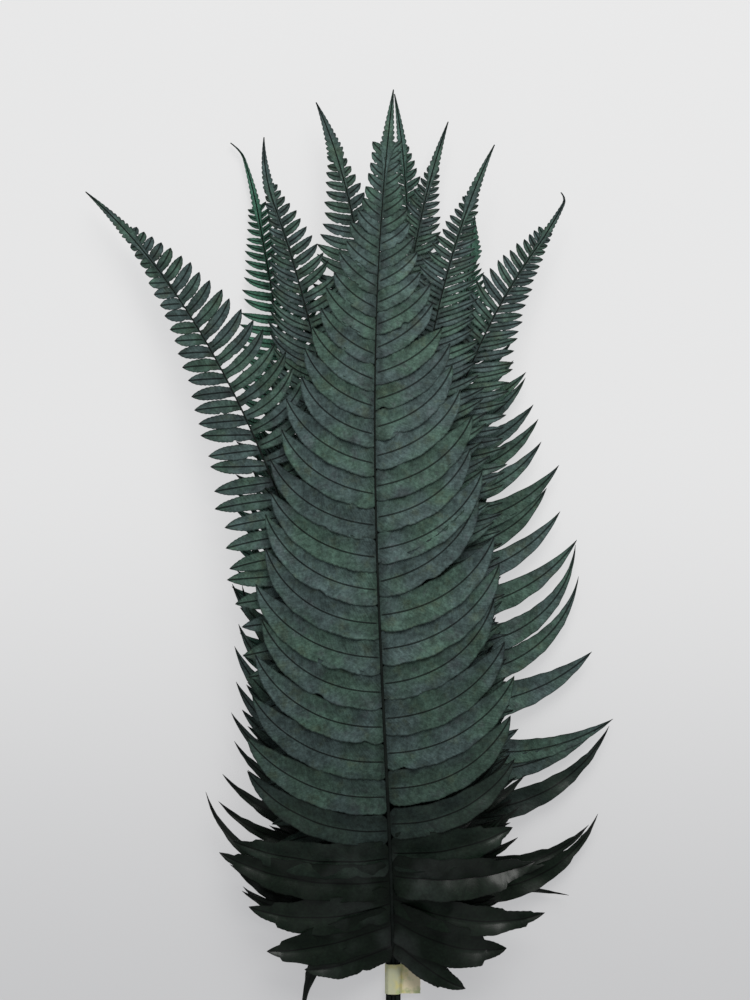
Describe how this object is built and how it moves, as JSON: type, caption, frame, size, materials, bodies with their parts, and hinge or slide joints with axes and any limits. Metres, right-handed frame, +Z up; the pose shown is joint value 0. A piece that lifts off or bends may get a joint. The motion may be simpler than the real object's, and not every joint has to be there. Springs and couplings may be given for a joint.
{
  "type": "preserved fern frond bunch",
  "caption": "Bunch of long preserved fern fronds with curved, tapering leaflets, tied at the stems with pale tape, lying on its back.",
  "frame": {"origin": "centre of the bunch's outline, on the surface that it lies on", "axes": "+Y from the cut stems to the tips, +X to the right with the front frond uppermost, +Z up"},
  "size_m": [0.3144, 0.589, 0.0695],
  "materials": {
    "fern_leaf": "matt blue-grey green preserved leaf, darker midribs",
    "fern_leaf_green": "matt, fresher green preserved leaf",
    "tape": "cream adhesive tape with green dye stains"
  },
  "bodies": {
    "root": {"frond_front": "fern_leaf", "frond_side_left": "fern_leaf", "frond_mid_right": "fern_leaf", "frond_side_right": "fern_leaf", "frond_mid_left": "fern_leaf", "frond_tall_left": "fern_leaf", "frond_tall_right": "fern_leaf", "frond_back_right": "fern_leaf_green", "frond_back_left": "fern_leaf_green", "frond_back_centre": "fern_leaf", "tape": "tape"}
  },
  "joints": []
}
